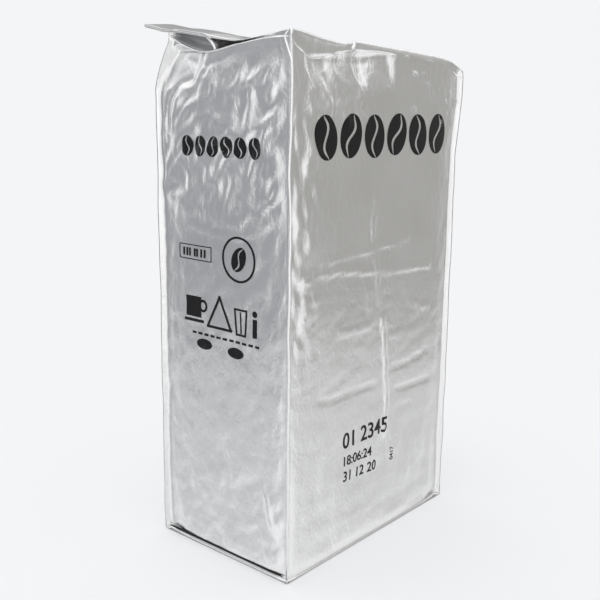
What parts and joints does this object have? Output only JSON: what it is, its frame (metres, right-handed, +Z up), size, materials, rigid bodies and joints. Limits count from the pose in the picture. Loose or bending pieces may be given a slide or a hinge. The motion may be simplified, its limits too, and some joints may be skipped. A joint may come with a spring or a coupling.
{
  "type": "coffee pack",
  "caption": "Shut vacuum brick of ground coffee: an upright block in silver film with pinched edges, side gussets and a folded seal on top.",
  "frame": {"origin": "middle of the flat base, on the surface that the pack stands on", "axes": "+Z up along the pack, +Y to the back, where the folded seal points, and +X along the wide faces"},
  "size_m": [0.0842, 0.0565, 0.1579],
  "materials": {
    "foil": "satin silver packing film, crumpled where it is slack, with plain black print"
  },
  "bodies": {
    "root": {"coffee_pack": "foil"}
  },
  "joints": []
}
